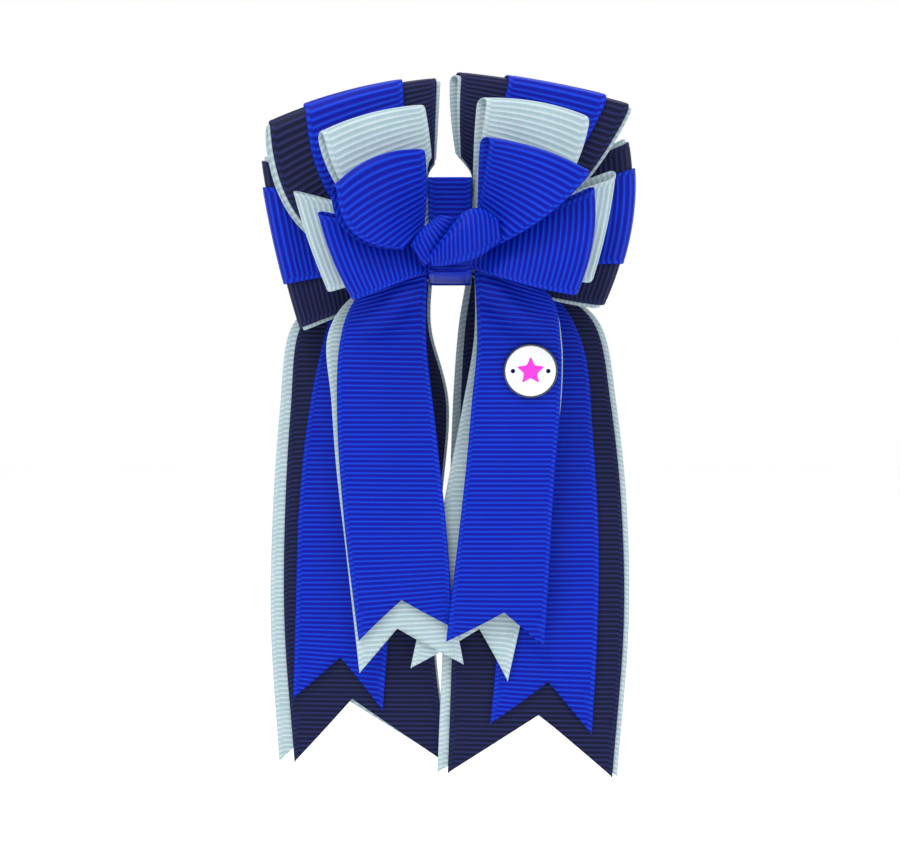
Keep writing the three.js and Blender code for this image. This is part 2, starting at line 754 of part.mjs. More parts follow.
// Charm: a metal cup with a rim, an enamel face set in it and a star on the face, with two sewing holes.
function addCharm() {
  const { radius, thick, hole, holeAt } = CHARM;
  const holes = (solid) => {
    let out = solid;
    for (const x of [-holeAt, holeAt]) out = out.subtract(bar(hole, x, 0, -2, 2, 12));
    return out;
  };
  const { wall, floor, sides } = CHARM_CUP;
  const { outer, inner, foot } = CHARM_STAR;
  const { side, under, top } = CHARM_GAP;
  const hollow = bar(radius - wall, 0, 0, floor, thick + 1, sides);
  const cup = bar(radius, 0, 0, 0, thick, sides).subtract(hollow);
  const star = prism(starPoints(outer, inner), foot, thick);
  const recess = prism(starPoints(outer + side, inner + side), foot - under, thick + 1);
  const face = bar(radius - wall - side, 0, 0, floor + under, thick - top, sides).subtract(recess);
  const charm = new THREE.Group();
  charm.position.set(CHARM.x, CHARM.y, CHARM.z);
  charm.rotation.x = Math.PI / 2 + CHARM.lean * RAD;
  ribbons.add(charm);
  addMesh(charm, "charm_cup", geometryOf(holes(cup)), "metal", 0.25, 1);
  addMesh(charm, "charm_face", geometryOf(holes(face)), "white", 0.2, 0);
  addMesh(charm, "charm_star", geometryOf(star), "pink", 0.25, 0);
}

addLoops();
addTails();
addWrap();
addKnot();
addClip();
addCharm();
export default bow;
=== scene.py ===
"""Looks of the layered ribbon bow: ribbed grosgrain ribbons, a knot, a charm and a lined clip.

Surfaces are worked out in millimetres in the ribbons' own frame, as the solids are, and become metres in the
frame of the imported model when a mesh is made.
"""

import math
from functools import cache

import bpy
import numpy as np
from mathutils import Matrix, Vector


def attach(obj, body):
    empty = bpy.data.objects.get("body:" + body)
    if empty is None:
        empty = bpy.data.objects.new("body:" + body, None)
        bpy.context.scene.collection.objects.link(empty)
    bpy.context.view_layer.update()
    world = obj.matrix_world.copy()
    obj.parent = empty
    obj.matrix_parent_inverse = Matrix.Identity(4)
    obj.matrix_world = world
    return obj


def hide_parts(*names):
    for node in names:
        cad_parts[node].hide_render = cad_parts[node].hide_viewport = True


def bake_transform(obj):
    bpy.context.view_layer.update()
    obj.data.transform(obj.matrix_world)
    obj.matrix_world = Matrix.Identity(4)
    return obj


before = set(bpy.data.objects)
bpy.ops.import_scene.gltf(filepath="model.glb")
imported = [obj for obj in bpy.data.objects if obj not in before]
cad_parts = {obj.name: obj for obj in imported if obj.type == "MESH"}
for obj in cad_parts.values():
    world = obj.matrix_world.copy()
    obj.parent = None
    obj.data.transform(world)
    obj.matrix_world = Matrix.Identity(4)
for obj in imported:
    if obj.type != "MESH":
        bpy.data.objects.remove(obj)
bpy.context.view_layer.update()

# Driving sizes, in millimetres
MM = 0.001
NARROW = 22.2
WIDE = 38.1
LAYER = 0.72  # from one ribbon of a stack to the next
CLIP_STACK = 2.3  # from the clip's grip face forward to the back of the ribbons
PITCH = 1.1  # from one grosgrain rib to the next
RIB = 0.12  # height of a rib
CORE = 0.1  # half the ribbon's thickness between two ribs
SELVEDGE = 1.15  # width of the woven edge
EDGE_BLEND = (1.05, 1.3)  # from the edge: where the ribs start, and where they have their full height
EDGE_SLANT = 0.35  # ribs that a stitch of the woven edge leans over its width
EDGE_VALLEY = 0.55  # height of the woven edge between two stitches, as a share of its full height
EDGE_THIN = (0.3, 0.2)  # share of the height left at the very edge, and the distance it takes to come back
ROWS_PER_RIB = 8
EDGE_STEPS = [0, 0.12, 0.4, 0.75, 1.05, 1.3]  # columns near an edge
COLUMN = 2.2  # from one column to the next inside the edges
WEAVE_UNIT = 10  # length of one unit of the weave's coordinates
FOLD_STEPS = 40  # steps round a loop's fold, before its ribs are placed
WALL_STEPS = 60  # the same along each of its walls
CURVE_STEPS = 600  # steps along a tail whose length is measured
LOBE_STEPS = 200  # the same along a lobe of the knot
BAND_STEPS = 800  # the same round the wrap

# sRGB colours of the ribbons: with painted shade between the ribs, and with a painted highlight on them
COLOURS = {
    "royal": ((0.0, 0.06, 0.63), (0.03, 0.27, 0.88)),
    "navy": ((0.05, 0.07, 0.2), (0.15, 0.18, 0.39)),
    "light": ((0.66, 0.76, 0.79), (0.82, 0.89, 0.91)),
}

# Loops, as in the solids, seen from the front. root, fold: x and z of the ribbon's two edges at the wrap and
# at the fold. bow: how far each edge bows outwards. arch: how far the fold's middle stands out from its ends.
# skew: how far the back wall has moved towards the second edge. slide: the same for the stripe.
SPREAD = 14
CROWN = 0.4
LINING_OUTSET = 0.8
CLEAR = 4.95  # the ribbons pass the wrap's top and bottom at least this far out
# Heights at which the wrap starts to hold the ribbons out, and does so fully
CLEAR_TOP = (3, 7)
CLEAR_FAR_ABOVE = (20, 12)
CLEAR_BOTTOM = (-6.5, -10.5)
DEPTHS = {
    "back_side": ((-3.6, -6.4), (-1.5, -1.5)),
    "back_upper": ((-8.3, -14.1), (-6.2, -9.6)),
    "middle_side": ((-11.6, -20), (-10.6, -17)),
    "middle_upper": ((-14.2, -24.6), (-13.2, -21.6)),
    "front_side": ((-18, -29.8), (-17, -26.7)),
    "front_upper": ((-21.1, -34.8), (-20.1, -31.6)),
}
LOOPS = {
    "back": {
        "upper_left": {
            "root": ((-5, -8), (-4, 2)),
            "fold": ((-39.8, 24), (-2.9, 33.5)),
            "bow": (12, 0),
            "arch": 1.6,
            "skew": -1,
            "slide": 0.8,
        },
        "upper_right": {
            "root": ((4, 3), (5, -9)),
            "fold": ((2.6, 34.6), (40.2, 27.7)),
            "bow": (1, 4.5),
            "arch": 0.8,
            "skew": -1.8,
            "slide": 2.5,
        },
        "side_left": {
            "root": ((-4, -10), (-4, 2)),
            "fold": ((-34.1, -21.7), (-42.7, 16.2)),
            "bow": (0, 2),
            "arch": 0.8,
            "skew": 1,
            "slide": 2,
        },
        "side_right": {
            "root": ((4, -9), (4, 3)),
            "fold": ((35, -16.6), (40.5, 20.4)),
            "bow": (1, 0.5),
            "arch": 3,
            "skew": 1.2,
            "slide": 1.5,
        },
    },
    "middle": {
        "upper_left": {
            "root": ((-5, -6), (-4.2, 0)),
            "fold": ((-27.2, 19.4), (-5.5, 25.2)),
            "bow": (5, 1),
            "arch": 1.1,
            "skew": -1.5,
        },
        "upper_right": {
            "root": ((4.2, 0), (5, -6)),
            "fold": ((7.9, 26.4), (30, 22.5)),
            "bow": (0, 6),
            "arch": 1.2,
            "skew": -2,
        },
        "side_left": {
            "root": ((-4.5, -8), (-4.5, 0)),
            "fold": ((-26.3, -14.8), (-33.8, 6.9)),
            "bow": (0, 0),
            "arch": 0.5,
            "skew": 1,
        },
        "side_right": {
            "root": ((4.5, -8), (4.5, 0)),
            "fold": ((30.7, -12.9), (35.7, 10)),
            "bow": (0, 0),
            "arch": 0.6,
            "skew": 2.5,
        },
    },
    "front": {
        "upper_left": {
            "root": ((-9.9, -6.4), (-5.6, -1)),
            "fold": ((-23.5, 6.4), (-5.3, 14.5)),
            "bow": (5, 0.5),
            "arch": 2.2,
            "skew": -1.5,
        },
        "upper_right": {
            "root": ((5.5, -1), (7, -6.5)),
            "fold": ((8.4, 16.3), (29.4, 9)),
            "bow": (0, 2.2),
            "arch": 1.1,
            "skew": -2,
        },
        "side_left": {
            "root": ((-4, -10.5), (-4, -3)),
            "fold": ((-20.3, -17.5), (-27.5, 0.6)),
            "bow": (0, 0),
            "arch": 0.8,
            "skew": 1.5,
        },
        "side_right": {
            "root": ((4, -9.5), (4, -5)),
            "fold": ((26.6, -16.4), (30.2, 5.8)),
            "bow": (0.8, 0),
            "arch": 1.6,
            "skew": 1.5,
        },
    },
}

# Tails: rows of x, z of the left edge, x, z of the right edge and y, then the notch's place and depth
TAIL_CROWN = 0.5
TAILS = {
    "back_left": (
        [
            [-27, -14, -5, -10.5, 2.3],
            [-35, -21.5, -5, -21.5, 2.3],
            [-37, -40, -0.9, -39, 2.1],
            [-38.3, -65, -2.6, -63, 1.8],
            [-38.3, -91, -4, -91, 1.4],
            [-36, -121.5, -0.6, -122, 1.2],
        ],
        0.42,
        15,
    ),
    "back_right": (
        [
            [5, -10.5, 27, -14, 2.3],
            [3.5, -21.5, 34.2, -21.5, 2.3],
            [2.5, -38, 37.2, -38, 1.6],
            [1.8, -62, 39.6, -62, 0.6],
            [0.7, -90, 40, -90, -0.6],
            [-0.5, -123.5, 37.3, -124.5, -1.1],
        ],
        0.53,
        14,
    ),
    "stripe_left": (
        [
            [-25, -13.7, -9, -11.1, 2.3],
            [-29.3, -24, -8.3, -24, 2.3],
            [-33, -43, -11.2, -43, 2.1],
            [-35, -64, -13, -64, 1.8],
            [-35.6, -85, -13.8, -85, 1.5],
            [-36.2, -106.5, -15.5, -109.5, 1.3],
        ],
        0.5,
        11,
    ),
    "stripe_right": (
        [
            [8, -11, 24, -13.5, 2.3],
            [9.5, -26, 31, -26, 2.1],
            [11, -46, 33, -46, 1.3],
            [11.6, -70, 34.2, -70, 0.2],
            [11, -92, 33.8, -92, -0.7],
            [9.2, -112, 32.5, -114.5, -1],
        ],
        0.53,
        11,
    ),
    "middle_left": (
        [
            [-22, -15, -5.5, -10.5, -10.4],
            [-27.5, -24, -6, -24, -9.6],
            [-26.7, -38, -4.5, -38, -8.2],
            [-25.6, -54, -3.5, -54, -6.8],
            [-23.4, -74, -1.2, -74, -5.4],
            [-20.6, -100, 3.1, -98, -4.4],
        ],
        0.42,
        9.5,
    ),
    "middle_right": (
        [
            [5.5, -10.5, 22, -15, -10.4],
            [5.4, -24, 25, -24, -9.2],
            [2.9, -39, 25, -39, -7.2],
            [-0.2, -55, 22.4, -55, -5.9],
            [-4, -75, 19, -75, -4.5],
            [-9, -99, 13.2, -102, -3.6],
        ],
        0.6,
        11,
    ),
    "front_left": (
        [
            [-20.2, -14.8, -5, -9.8, -13.6],
            [-24.5, -25.5, -5.2, -25.5, -12.6],
            [-25.2, -44, -3.2, -44, -9.8],
            [-23.7, -67, -0.8, -67, -7.4],
            [-20.7, -92.5, 0.8, -89.5, -5.8],
        ],
        0.49,
        8,
    ),
    "front_right": (
        [
            [5.4, -9.8, 22, -14.8, -14],
            [6, -25, 24.5, -25, -13.4],
            [4.9, -38, 24.6, -38, -11.6],
            [3.3, -56, 23.3, -56, -9.6],
            [0.6, -80, 22.1, -80, -7.6],
            [-0.9, -92.5, 21.3, -93.7, -6.8],
        ],
        0.56,
        7.5,
    ),
}


def mix(a, b, t):
    return a + (b - a) * t


def smooth(t):
    t = np.clip(t, 0, 1)
    return t * t * (3 - 2 * t)


def between(value, start, full):
    """Rises smoothly from 0 at start to 1 at full."""
    return smooth((value - start) / (full - start))


def wall_y(ys, distance):
    """Depth of a loop's wall at a distance from the middle of the bow."""
    return mix(ys[0], ys[1], 1 - np.exp(-((distance / SPREAD) ** 2)))


def columns(width):
    """Places across a ribbon, from its left edge, close together in the woven edges."""
    inner = width - 2 * EDGE_STEPS[-1]
    count = max(2, round(inner / COLUMN))
    middle = [EDGE_STEPS[-1] + inner * i / count for i in range(1, count)]
    return np.array(EDGE_STEPS + middle + [width - e for e in reversed(EDGE_STEPS)])


def rib_rows(length):
    """Lengths along a ribbon, at equal steps, with a whole number of ribs."""
    ribs = max(2, round(length / PITCH))
    return np.linspace(0, length, ribs * ROWS_PER_RIB + 1)


def arc_lengths(points):
    steps = np.linalg.norm(np.diff(points, axis=0), axis=1)
    return np.concatenate([[0], np.cumsum(steps)])


def catmull(rows, t):
    """Catmull-Rom curve through rows of numbers."""
    rows = np.asarray(rows, float)
    last = len(rows) - 1
    x = np.clip(t, 0, 1) * last
    i = np.minimum(x.astype(int), last - 1)
    f = (x - i)[:, None]
    p1, p2 = rows[i], rows[i + 1]
    p0 = np.where((i > 0)[:, None], rows[np.maximum(i - 1, 0)], 2 * p1 - p2)
    p3 = np.where((i + 2 <= last)[:, None], rows[np.minimum(i + 2, last)], 2 * p2 - p1)
    bend = 2 * p0 - 5 * p1 + 4 * p2 - p3
    return (2 * p1 + (p2 - p0) * f + bend * f**2 + (3 * p1 - p0 - 3 * p2 + p3) * f**3) / 2


def grid_normals(grid, closed=False):
    """Unit normals of a grid of points, on the left of its rows as they run on."""
    if closed:
        run = np.roll(grid, -1, 0) - np.roll(grid, 1, 0)
    else:
        run = np.gradient(grid, axis=0)
    normals = np.cross(np.gradient(grid, axis=1), run)
    return normals / np.maximum(np.linalg.norm(normals, axis=2, keepdims=True), 1e-9)


# ------------------------------------------------------------------ ribbon meshes


def rib_height(along, from_edge, ribs):
    """Height of the weave over the ribbon's core, and how high on a rib each point is, from 0 to 1, which
    sets how much painted highlight it gets over the painted shade between the ribs.
    """
    phase = along / (along.max() / ribs)
    wave = 0.5 - 0.5 * np.cos(2 * np.pi * phase)
    stitch = 0.5 - 0.5 * np.cos(2 * np.pi * (phase + 0.5 + EDGE_SLANT * from_edge / SELVEDGE))
    inside = between(from_edge, *EDGE_BLEND)
    bead = np.sqrt(np.clip(1 - ((from_edge - SELVEDGE / 2) / (SELVEDGE / 2)) ** 2, 0, 1))
    height = mix(bead * mix(EDGE_VALLEY, 1, stitch), wave**1.4, inside)
    painted_rib_light = mix(bead * stitch, wave**3, inside)
    return RIB * height * smooth(EDGE_THIN[0] + from_edge / EDGE_THIN[1]), painted_rib_light


def build_mesh(name, vertices, quads, uvs, ribs):
    mesh = bpy.data.meshes.new(name)
    mesh.vertices.add(len(vertices))
    mesh.vertices.foreach_set("co", vertices.astype(np.float32).ravel())
    mesh.loops.add(quads.size)
    mesh.loops.foreach_set("vertex_index", quads.astype(np.int32).ravel())
    mesh.polygons.add(len(quads))
    mesh.polygons.foreach_set("loop_start", np.arange(0, quads.size, 4, dtype=np.int32))
    mesh.polygons.foreach_set("use_smooth", np.ones(len(quads), bool))
    mesh.update(calc_edges=True)
    layer = mesh.uv_layers.new(name="weave")
    layer.data.foreach_set("uv", uvs[quads.ravel()].astype(np.float32).ravel())
    # the rib attribute is the painted rib light: 0 takes the painted shade between the ribs, 1 a painted
    # highlight on a crest
    attribute = mesh.attributes.new("rib", "FLOAT", "POINT")
    attribute.data.foreach_set("value", ribs.astype(np.float32))
    mesh.validate()
    thing = bpy.data.objects.new(name, mesh)
    bpy.context.scene.collection.objects.link(thing)
    return thing


def shell(name, points, normals, heights, ribs, uvs, quads, turn=True):
    """A closed ribbon around a sheet of points: both faces ribbed, and its open edges joined."""
    half = (CORE + heights)[:, None] * normals
    vertices = np.concatenate([points + half, points - half])
    vertices[:, 1] -= CLIP_STACK
    count = len(points)
    edges = np.concatenate([quads[:, [k, (k + 1) % 4]] for k in range(4)])
    key = np.sort(edges, axis=1)
    _, first, number = np.unique(key, axis=0, return_index=True, return_counts=True)
    rim = edges[first[number == 1]]
    sides = np.stack([rim[:, 1], rim[:, 0], rim[:, 0] + count, rim[:, 1] + count], 1)
    faces = np.concatenate([quads, quads[:, ::-1] + count, sides])
    if not turn:
        faces = faces[:, ::-1]
    return build_mesh(name, vertices * MM, faces, np.tile(uvs, (2, 1)), np.tile(ribs, 2))


def grid_quads(rows, cols, closed=False):
    index = np.arange(rows * cols).reshape(rows, cols)
    after = np.roll(index, -1, 0) if closed else index[1:]
    here = index if closed else index[:-1]
    return np.stack([here[:, :-1], here[:, 1:], after[:, 1:], after[:, :-1]], -1).reshape(-1, 4)


def ribbon_from_grid(name, grid, normals, places, width, along, closed=False):
    """A ribbed ribbon on a grid: rows along its length, one column for each place across its width."""
    from_edge = np.minimum(places, width - places)[None, :] + 0 * along[:, None]
    length = along[-1] + (along[1] if closed else 0)
    ribs = max(2, round(length / PITCH))
    spread = along[:, None] + 0 * from_edge
    scaled = spread * (spread.max() / length) if closed else spread
    height, painted_rib_light = rib_height(scaled, from_edge, ribs)
    uvs = np.stack([places[None, :] + 0 * spread, spread], -1) / WEAVE_UNIT
    quads = grid_quads(*grid.shape[:2], closed)
    facing = np.sum(normals * grid_normals(grid, closed))
    points, normals, uvs = (a.reshape(-1, a.shape[-1]) for a in (grid, normals, uvs))
    return shell(name, points, normals, height.ravel(), painted_rib_light.ravel(), uvs, quads, facing > 0)


# ------------------------------------------------------------------ loops


def loop_profile(depth, length):
    """Way out from the root and share of the way from front to back, at equal steps of arc length."""
    front, back = depth
    radius = (wall_y(back, length) - wall_y(front, length)) / 2
    wall = length - radius
    turn = np.linspace(0, np.pi, FOLD_STEPS)[1:-1]
    out = np.linspace(0, wall, WALL_STEPS)
    way = np.concatenate([out, wall + radius * np.sin(turn), out[::-1]])
    y = np.concatenate([0 * out - radius, -radius * np.cos(turn), 0 * out + radius])
    points = np.stack([way, y], 1)
    arc = arc_lengths(points)
    along = rib_rows(arc[-1])
    return along, np.interp(along, arc, way), (np.interp(along, arc, y) / radius + 1) / 2


def beside_wrap(x, z):
    """Keeps a ribbon beside the wrap where the wrap turns over its top and bottom."""
    above = between(z, *CLEAR_TOP) * between(z, *CLEAR_FAR_ABOVE)
    below = between(z, *CLEAR_BOTTOM)
    return np.sign(x) * np.maximum(np.abs(x), CLEAR * np.maximum(above, below))


def edge_curve(root, fold, bow, other, f):
    """One edge of a loop: from its root to its fold, bowed away from the other edge."""
    run = fold - root
    away = np.array([-run[1], run[0]]) / np.hypot(*run)
    if away @ (other - fold) > 0:
        away = -away
    return root + f[:, None] * run + (bow * 4 * f * (1 - f))[:, None] * away


def loop_grid(spec, depth, shares):
    """Points and outer normals of a loop at shares of its width, with the lengths of its rows."""
    root, fold = np.array(spec["root"], float), np.array(spec["fold"], float)
    out = fold.mean(0) - root.mean(0)
    length = np.hypot(*out)
    out /= length
    across = (fold[1] - fold[0]) / np.hypot(*(fold[1] - fold[0]))
    along, way, to_back = loop_profile(depth, length)
    f = np.clip(way / length, 0, 1)
    edges = [edge_curve(root[k], fold[k], spec["bow"][k], fold[1 - k], f)[:, None] for k in (0, 1)]
    q = shares[None, :, None]
    rise = 4 * q * (1 - q)
    f, to_back = f[:, None, None], to_back[:, None, None]
    at = mix(edges[0], edges[1], q) + spec["arch"] * rise * f**2 * out
    at = at + spec["skew"] * to_back * smooth(f) * across
    x, z = at[..., 0], at[..., 1]
    distance = np.hypot(x, z)
    to_back = to_back[..., 0]
    y = mix(wall_y(depth[0], distance), wall_y(depth[1], distance), to_back)
    y = y - CROWN * (rise * f)[..., 0] * (1 - 2 * to_back)
    grid = np.stack([x, y, z], -1)
    normals = grid_normals(grid)
    if normals[: len(grid) // 3, :, 1].sum() > 0:
        normals = -normals
    # the wrap squeezes the ribbons sideways, and their layers stay as far apart
    grid[..., 0] = beside_wrap(x, z)
    return grid, normals, along


def finish_ribbon(piece, node, colour, body):
    piece.data.materials.append(grosgrain(colour))
    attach(piece, body)
    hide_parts(node)


def depth_of(tier, place):
    return DEPTHS[f"{tier}_{place.split('_')[0]}"]


def make_loop(node, spec, depth, colour, width, shares, lift=0):
    places = columns(width)
    grid, normals, along = loop_grid(spec, depth, shares)
    piece = ribbon_from_grid("ribbon_" + node, grid + normals * lift, normals, places, width, along)
    finish_ribbon(piece, node, colour, "bow")


def make_loops():
    wide, narrow = columns(WIDE) / WIDE, columns(NARROW) / NARROW
    for place, spec in LOOPS["back"].items():
        depth = depth_of("back", place)
        node = "back_loop_" + place
        lining = (wide - 0.5) * (1 + 2 * LINING_OUTSET / WIDE) + 0.5
        stripe = 0.5 + ((narrow - 0.5) * NARROW + spec["slide"]) / WIDE
        make_loop(node + "_lining", spec, depth, "light", WIDE, lining, -LAYER)
        make_loop(node + "_navy", spec, depth, "navy", WIDE, wide)
        make_loop(node + "_stripe", spec, depth, "royal", NARROW, stripe, LAYER)
    for tier, colour in (("middle", "light"), ("front", "royal")):
        for place, spec in LOOPS[tier].items():
            make_loop(f"{tier}_loop_{place}", spec, depth_of(tier, place), colour, NARROW, narrow)


# ------------------------------------------------------------------ tails


def tail_points(rows, q, t, lift, outsets):
    """Points of a tail at shares q across its width and t along its length, as arrays of one shape."""
    shape = np.broadcast(q, t).shape
    q, t = np.broadcast_to(q, shape).ravel(), np.broadcast_to(t, shape).ravel()
    xl, zl, xr, zr, y = catmull(rows, t).T
    left, right = (mix(*outset, t) for outset in zip(*outsets))
    rise = TAIL_CROWN * (1 - (2 * q - 1) ** 2) * smooth(t * 5)
    points = np.stack([mix(xl - left, xr + right, q), y - lift - rise, mix(zl, zr, q)], -1)
    return points.reshape(*shape, 3)


def make_tail(node, key, width, colour, lift=0, outsets=((0, 0), (0, 0)), creases=()):
    """A tail: full width from its gathered neck to the notch's apex, then two prongs that narrow to tips.

    outsets: how far the left and the right edge stand out from the given rows, at the top and at the tips.
    """
    rows, apex, notch = TAILS[key]
    rows = NECKS[key] + rows
    fine = np.linspace(0, 1, CURVE_STEPS)
    arc = arc_lengths(tail_points(rows, np.array(0.5), fine, lift, outsets))
    length = arc[-1]
    along = rib_rows(length)
    t = np.interp(along, arc, fine)[:, None]
    places = columns(width)
    apex_column = int(np.argmin(np.abs(places / width - apex)))
    places[apex_column] = apex * width
    q = (places / width)[None, :]
    last = int(np.searchsorted(along, length - notch))
    # below the apex each prong keeps only the share of its width that the cut leaves
    left = np.clip((length - along) / (length - along[last]), TIP, 1)[last:, None]
    sheets = [
        (q + 0 * t[: last + 1], t[: last + 1], along[: last + 1]),
        (q[:, : apex_column + 1] * left, t[last:], along[last:]),
        (1 - (1 - q[:, apex_column:]) * left, t[last:], along[last:]),
    ]
    pieces, quads, base = [], [], 0
    for qs, ts, run in sheets:
        grid = tail_points(rows, qs, ts + 0 * qs, lift, outsets)
        for crease in creases:
            grid[..., 1] -= crease_height(grid, crease)
        normals = grid_normals(grid)
        normals = normals * -np.sign(normals[..., 1:2])
        from_edge = np.minimum(qs, 1 - qs) * width
        run = run[:, None] + 0 * qs
        values = [grid, normals, np.stack([from_edge, run, qs * width], -1)]
        pieces.append([v.reshape(-1, 3) for v in values])
        quads.append(grid_quads(*grid.shape[:2]) + base)
        base += grid.shape[0] * grid.shape[1]
    points, normals, weave = (np.concatenate(v) for v in zip(*pieces))
    points, normals, weave, quads = weld(points, normals, weave, np.concatenate(quads))
    height, painted_rib_light = rib_height(weave[:, 1], weave[:, 0], max(2, round(length / PITCH)))
    uvs = weave[:, [2, 1]] / WEAVE_UNIT
    piece = shell("ribbon_" + node, points, normals, height, painted_rib_light, uvs, quads)
    piece.data.materials.append(grosgrain(colour))
    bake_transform(piece)
    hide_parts(node)


def weld(points, normals, weave, quads):
    """Joins the points that the body and the prongs share."""
    _, first, inverse = np.unique(np.round(points, 4), axis=0, return_index=True, return_inverse=True)
    return points[first], normals[first], weave[first], inverse.reshape(-1)[quads]


def crease_height(grid, crease):
    """A soft fold that runs from one point to another, and fades out past its ends."""
    (x0, z0), (x1, z1), height, spread = crease
    start, way = np.array([x0, z0]), np.array([x1 - x0, z1 - z0])
    length = np.hypot(*way)
    rel = grid[..., [0, 2]] - start
    f = rel @ way / length**2
    off = (rel @ np.array([-way[1], way[0]])) / length
    fade = smooth(f * 4 + 0.5) * smooth((1.25 - f) * 2)
    return height * np.exp(-((off / spread) ** 2)) * fade


TIP = 0.015  # share of a prong's width left at its tip

# Gathered rows above each tail's first row, from the middle of the bow out
NECKS = {
    "back_left": [[-7, -6, -4.9, -5.4, 1.2], [-15, -9, -4.9, -7.5, 1.8]],
    "back_right": [[4.9, -5.4, 7, -6, 1.2], [4.9, -7.5, 15, -9, 1.8]],
    "stripe_left": [[-6.6, -6, -5, -5.6, 1.2], [-12, -8.6, -6, -7.5, 1.8]],
    "stripe_right": [[5, -5.6, 6.6, -6, 1.2], [6, -7.5, 12, -8.6, 1.8]],
    "middle_left": [[-5.2, -5.5, -4.2, -3.5, -10], [-11, -9.5, -5, -7.5, -10.1]],
    "middle_right": [[4.2, -3.5, 5.2, -5.5, -10], [5, -7.5, 11, -9.5, -10.1]],
    "front_left": [[-5.2, -5.5, -4.2, -3.5, -10.8], [-11, -9.5, -5, -7, -12]],
    "front_right": [[4.2, -3.5, 5.2, -5.5, -10.8], [5, -7, 11, -9.5, -12]],
}
# Creases pressed in by the knot: from x, z to x, z, height and spread
CREASES = {
    "left": [((-9, -12.5), (-19, -21.5), 1.3, 1.6), ((-9, -16), (-17, -24), -0.9, 2.2)],
    "right": [((8, -11), (18, -21), 1.3, 1.6), ((8, -15), (16, -23.5), -0.9, 2.2)],
}
# How far the back tails' linings stand out past the navy ribbon, on the left and on the right: at the top,
# then at the tips
BACK_LINING = {"left": ((1.2, 1), (3.6, 0.4)), "right": ((1, 1.6), (2.4, 1.2))}


def make_tails():
    for side in ("left", "right"):
        back = f"back_tail_{side}"
        make_tail(f"{back}_lining", f"back_{side}", WIDE, "light", -LAYER, BACK_LINING[side])
        make_tail(f"{back}_navy", f"back_{side}", WIDE, "navy")
        make_tail(f"{back}_stripe", f"stripe_{side}", NARROW, "royal", LAYER + TAIL_CROWN)
        make_tail(f"middle_tail_{side}", f"middle_{side}", NARROW, "light")
        front = f"front_tail_{side}"
        make_tail(front, f"front_{side}", NARROW, "royal", creases=CREASES[side])


# ------------------------------------------------------------------ wrap and knot

WRAP_HALF = 4.75  # 3/8 inch ribbon
# z of the band's two ends, y of its back, and y of its front at the middle of the bow and far out
WRAP = {"z": (-11, 10.5), "back": 0.3, "front": (-15.95, -26.1)}
WRAP_CORNER = {"front": 1.2, "back": 1.5, "sag": 0.1}  # how far the band's turns reach along it
WRAP_INSET = 0.25  # from the solid's outer face to the middle of the ribbon
WRAP_MIDDLE = (0, -8, -2)  # a point that the band goes round
# The knot's two lobes, as rows across each: x and z of one edge, x and z of the other, y of the edges, and y
# of the middle
KNOT = {
    "left": [
        [-8.4, -5.3, -5.6, -9.8, -26.2, -27],
        [-6.4, -2.4, -3.4, -8.2, -26.4, -28],
        [-4.3, -0.4, -1, -4.5, -25.8, -27.4],
        [-2.4, 1.2, 1.8, 1, -24, -25],
    ],
    "right": [
        [10.2, -0.2, 10.8, -4.5, -28.4, -29],
        [6.6, 2.2, 7.1, -7.4, -28, -30.6],
        [2.8, 1.2, 3.2, -9.1, -28.6, -31.6],
        [-1, -3.6, -1, -9.9, -29, -31],
        [-4.4, -8, -3.8, -10, -28.6, -29],
    ],
}


def make_knot():
    for side, rows in KNOT.items():
        fine = np.linspace(0, 1, LOBE_STEPS)
        sampled = catmull(rows, fine)
        centre = np.stack(
            [(sampled[:, 0] + sampled[:, 2]) / 2, sampled[:, 5], (sampled[:, 1] + sampled[:, 3]) / 2], -1
        )
        arc = arc_lengths(centre)
        along = rib_rows(arc[-1])
        ax, az, bx, bz, y_edge, y_middle = catmull(rows, np.interp(along, arc, fine)).T[:, :, None]
        width = float(np.mean(np.hypot(ax - bx, az - bz)))
        places = columns(width)
        q = (places / width)[None, :]
        y = mix(y_edge, y_middle, 1 - (2 * q - 1) ** 2)
        grid = np.stack([mix(ax, bx, q), y, mix(az, bz, q)], -1)
        normals = grid_normals(grid)
        normals = normals * -np.sign(normals[..., 1:2])
        node = f"knot_lobe_{side}"
        piece = ribbon_from_grid("ribbon_" + node, grid, normals, places, width, along)
        piece.data.materials.append(grosgrain("royal"))
        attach(piece, "bow")
        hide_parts(node)


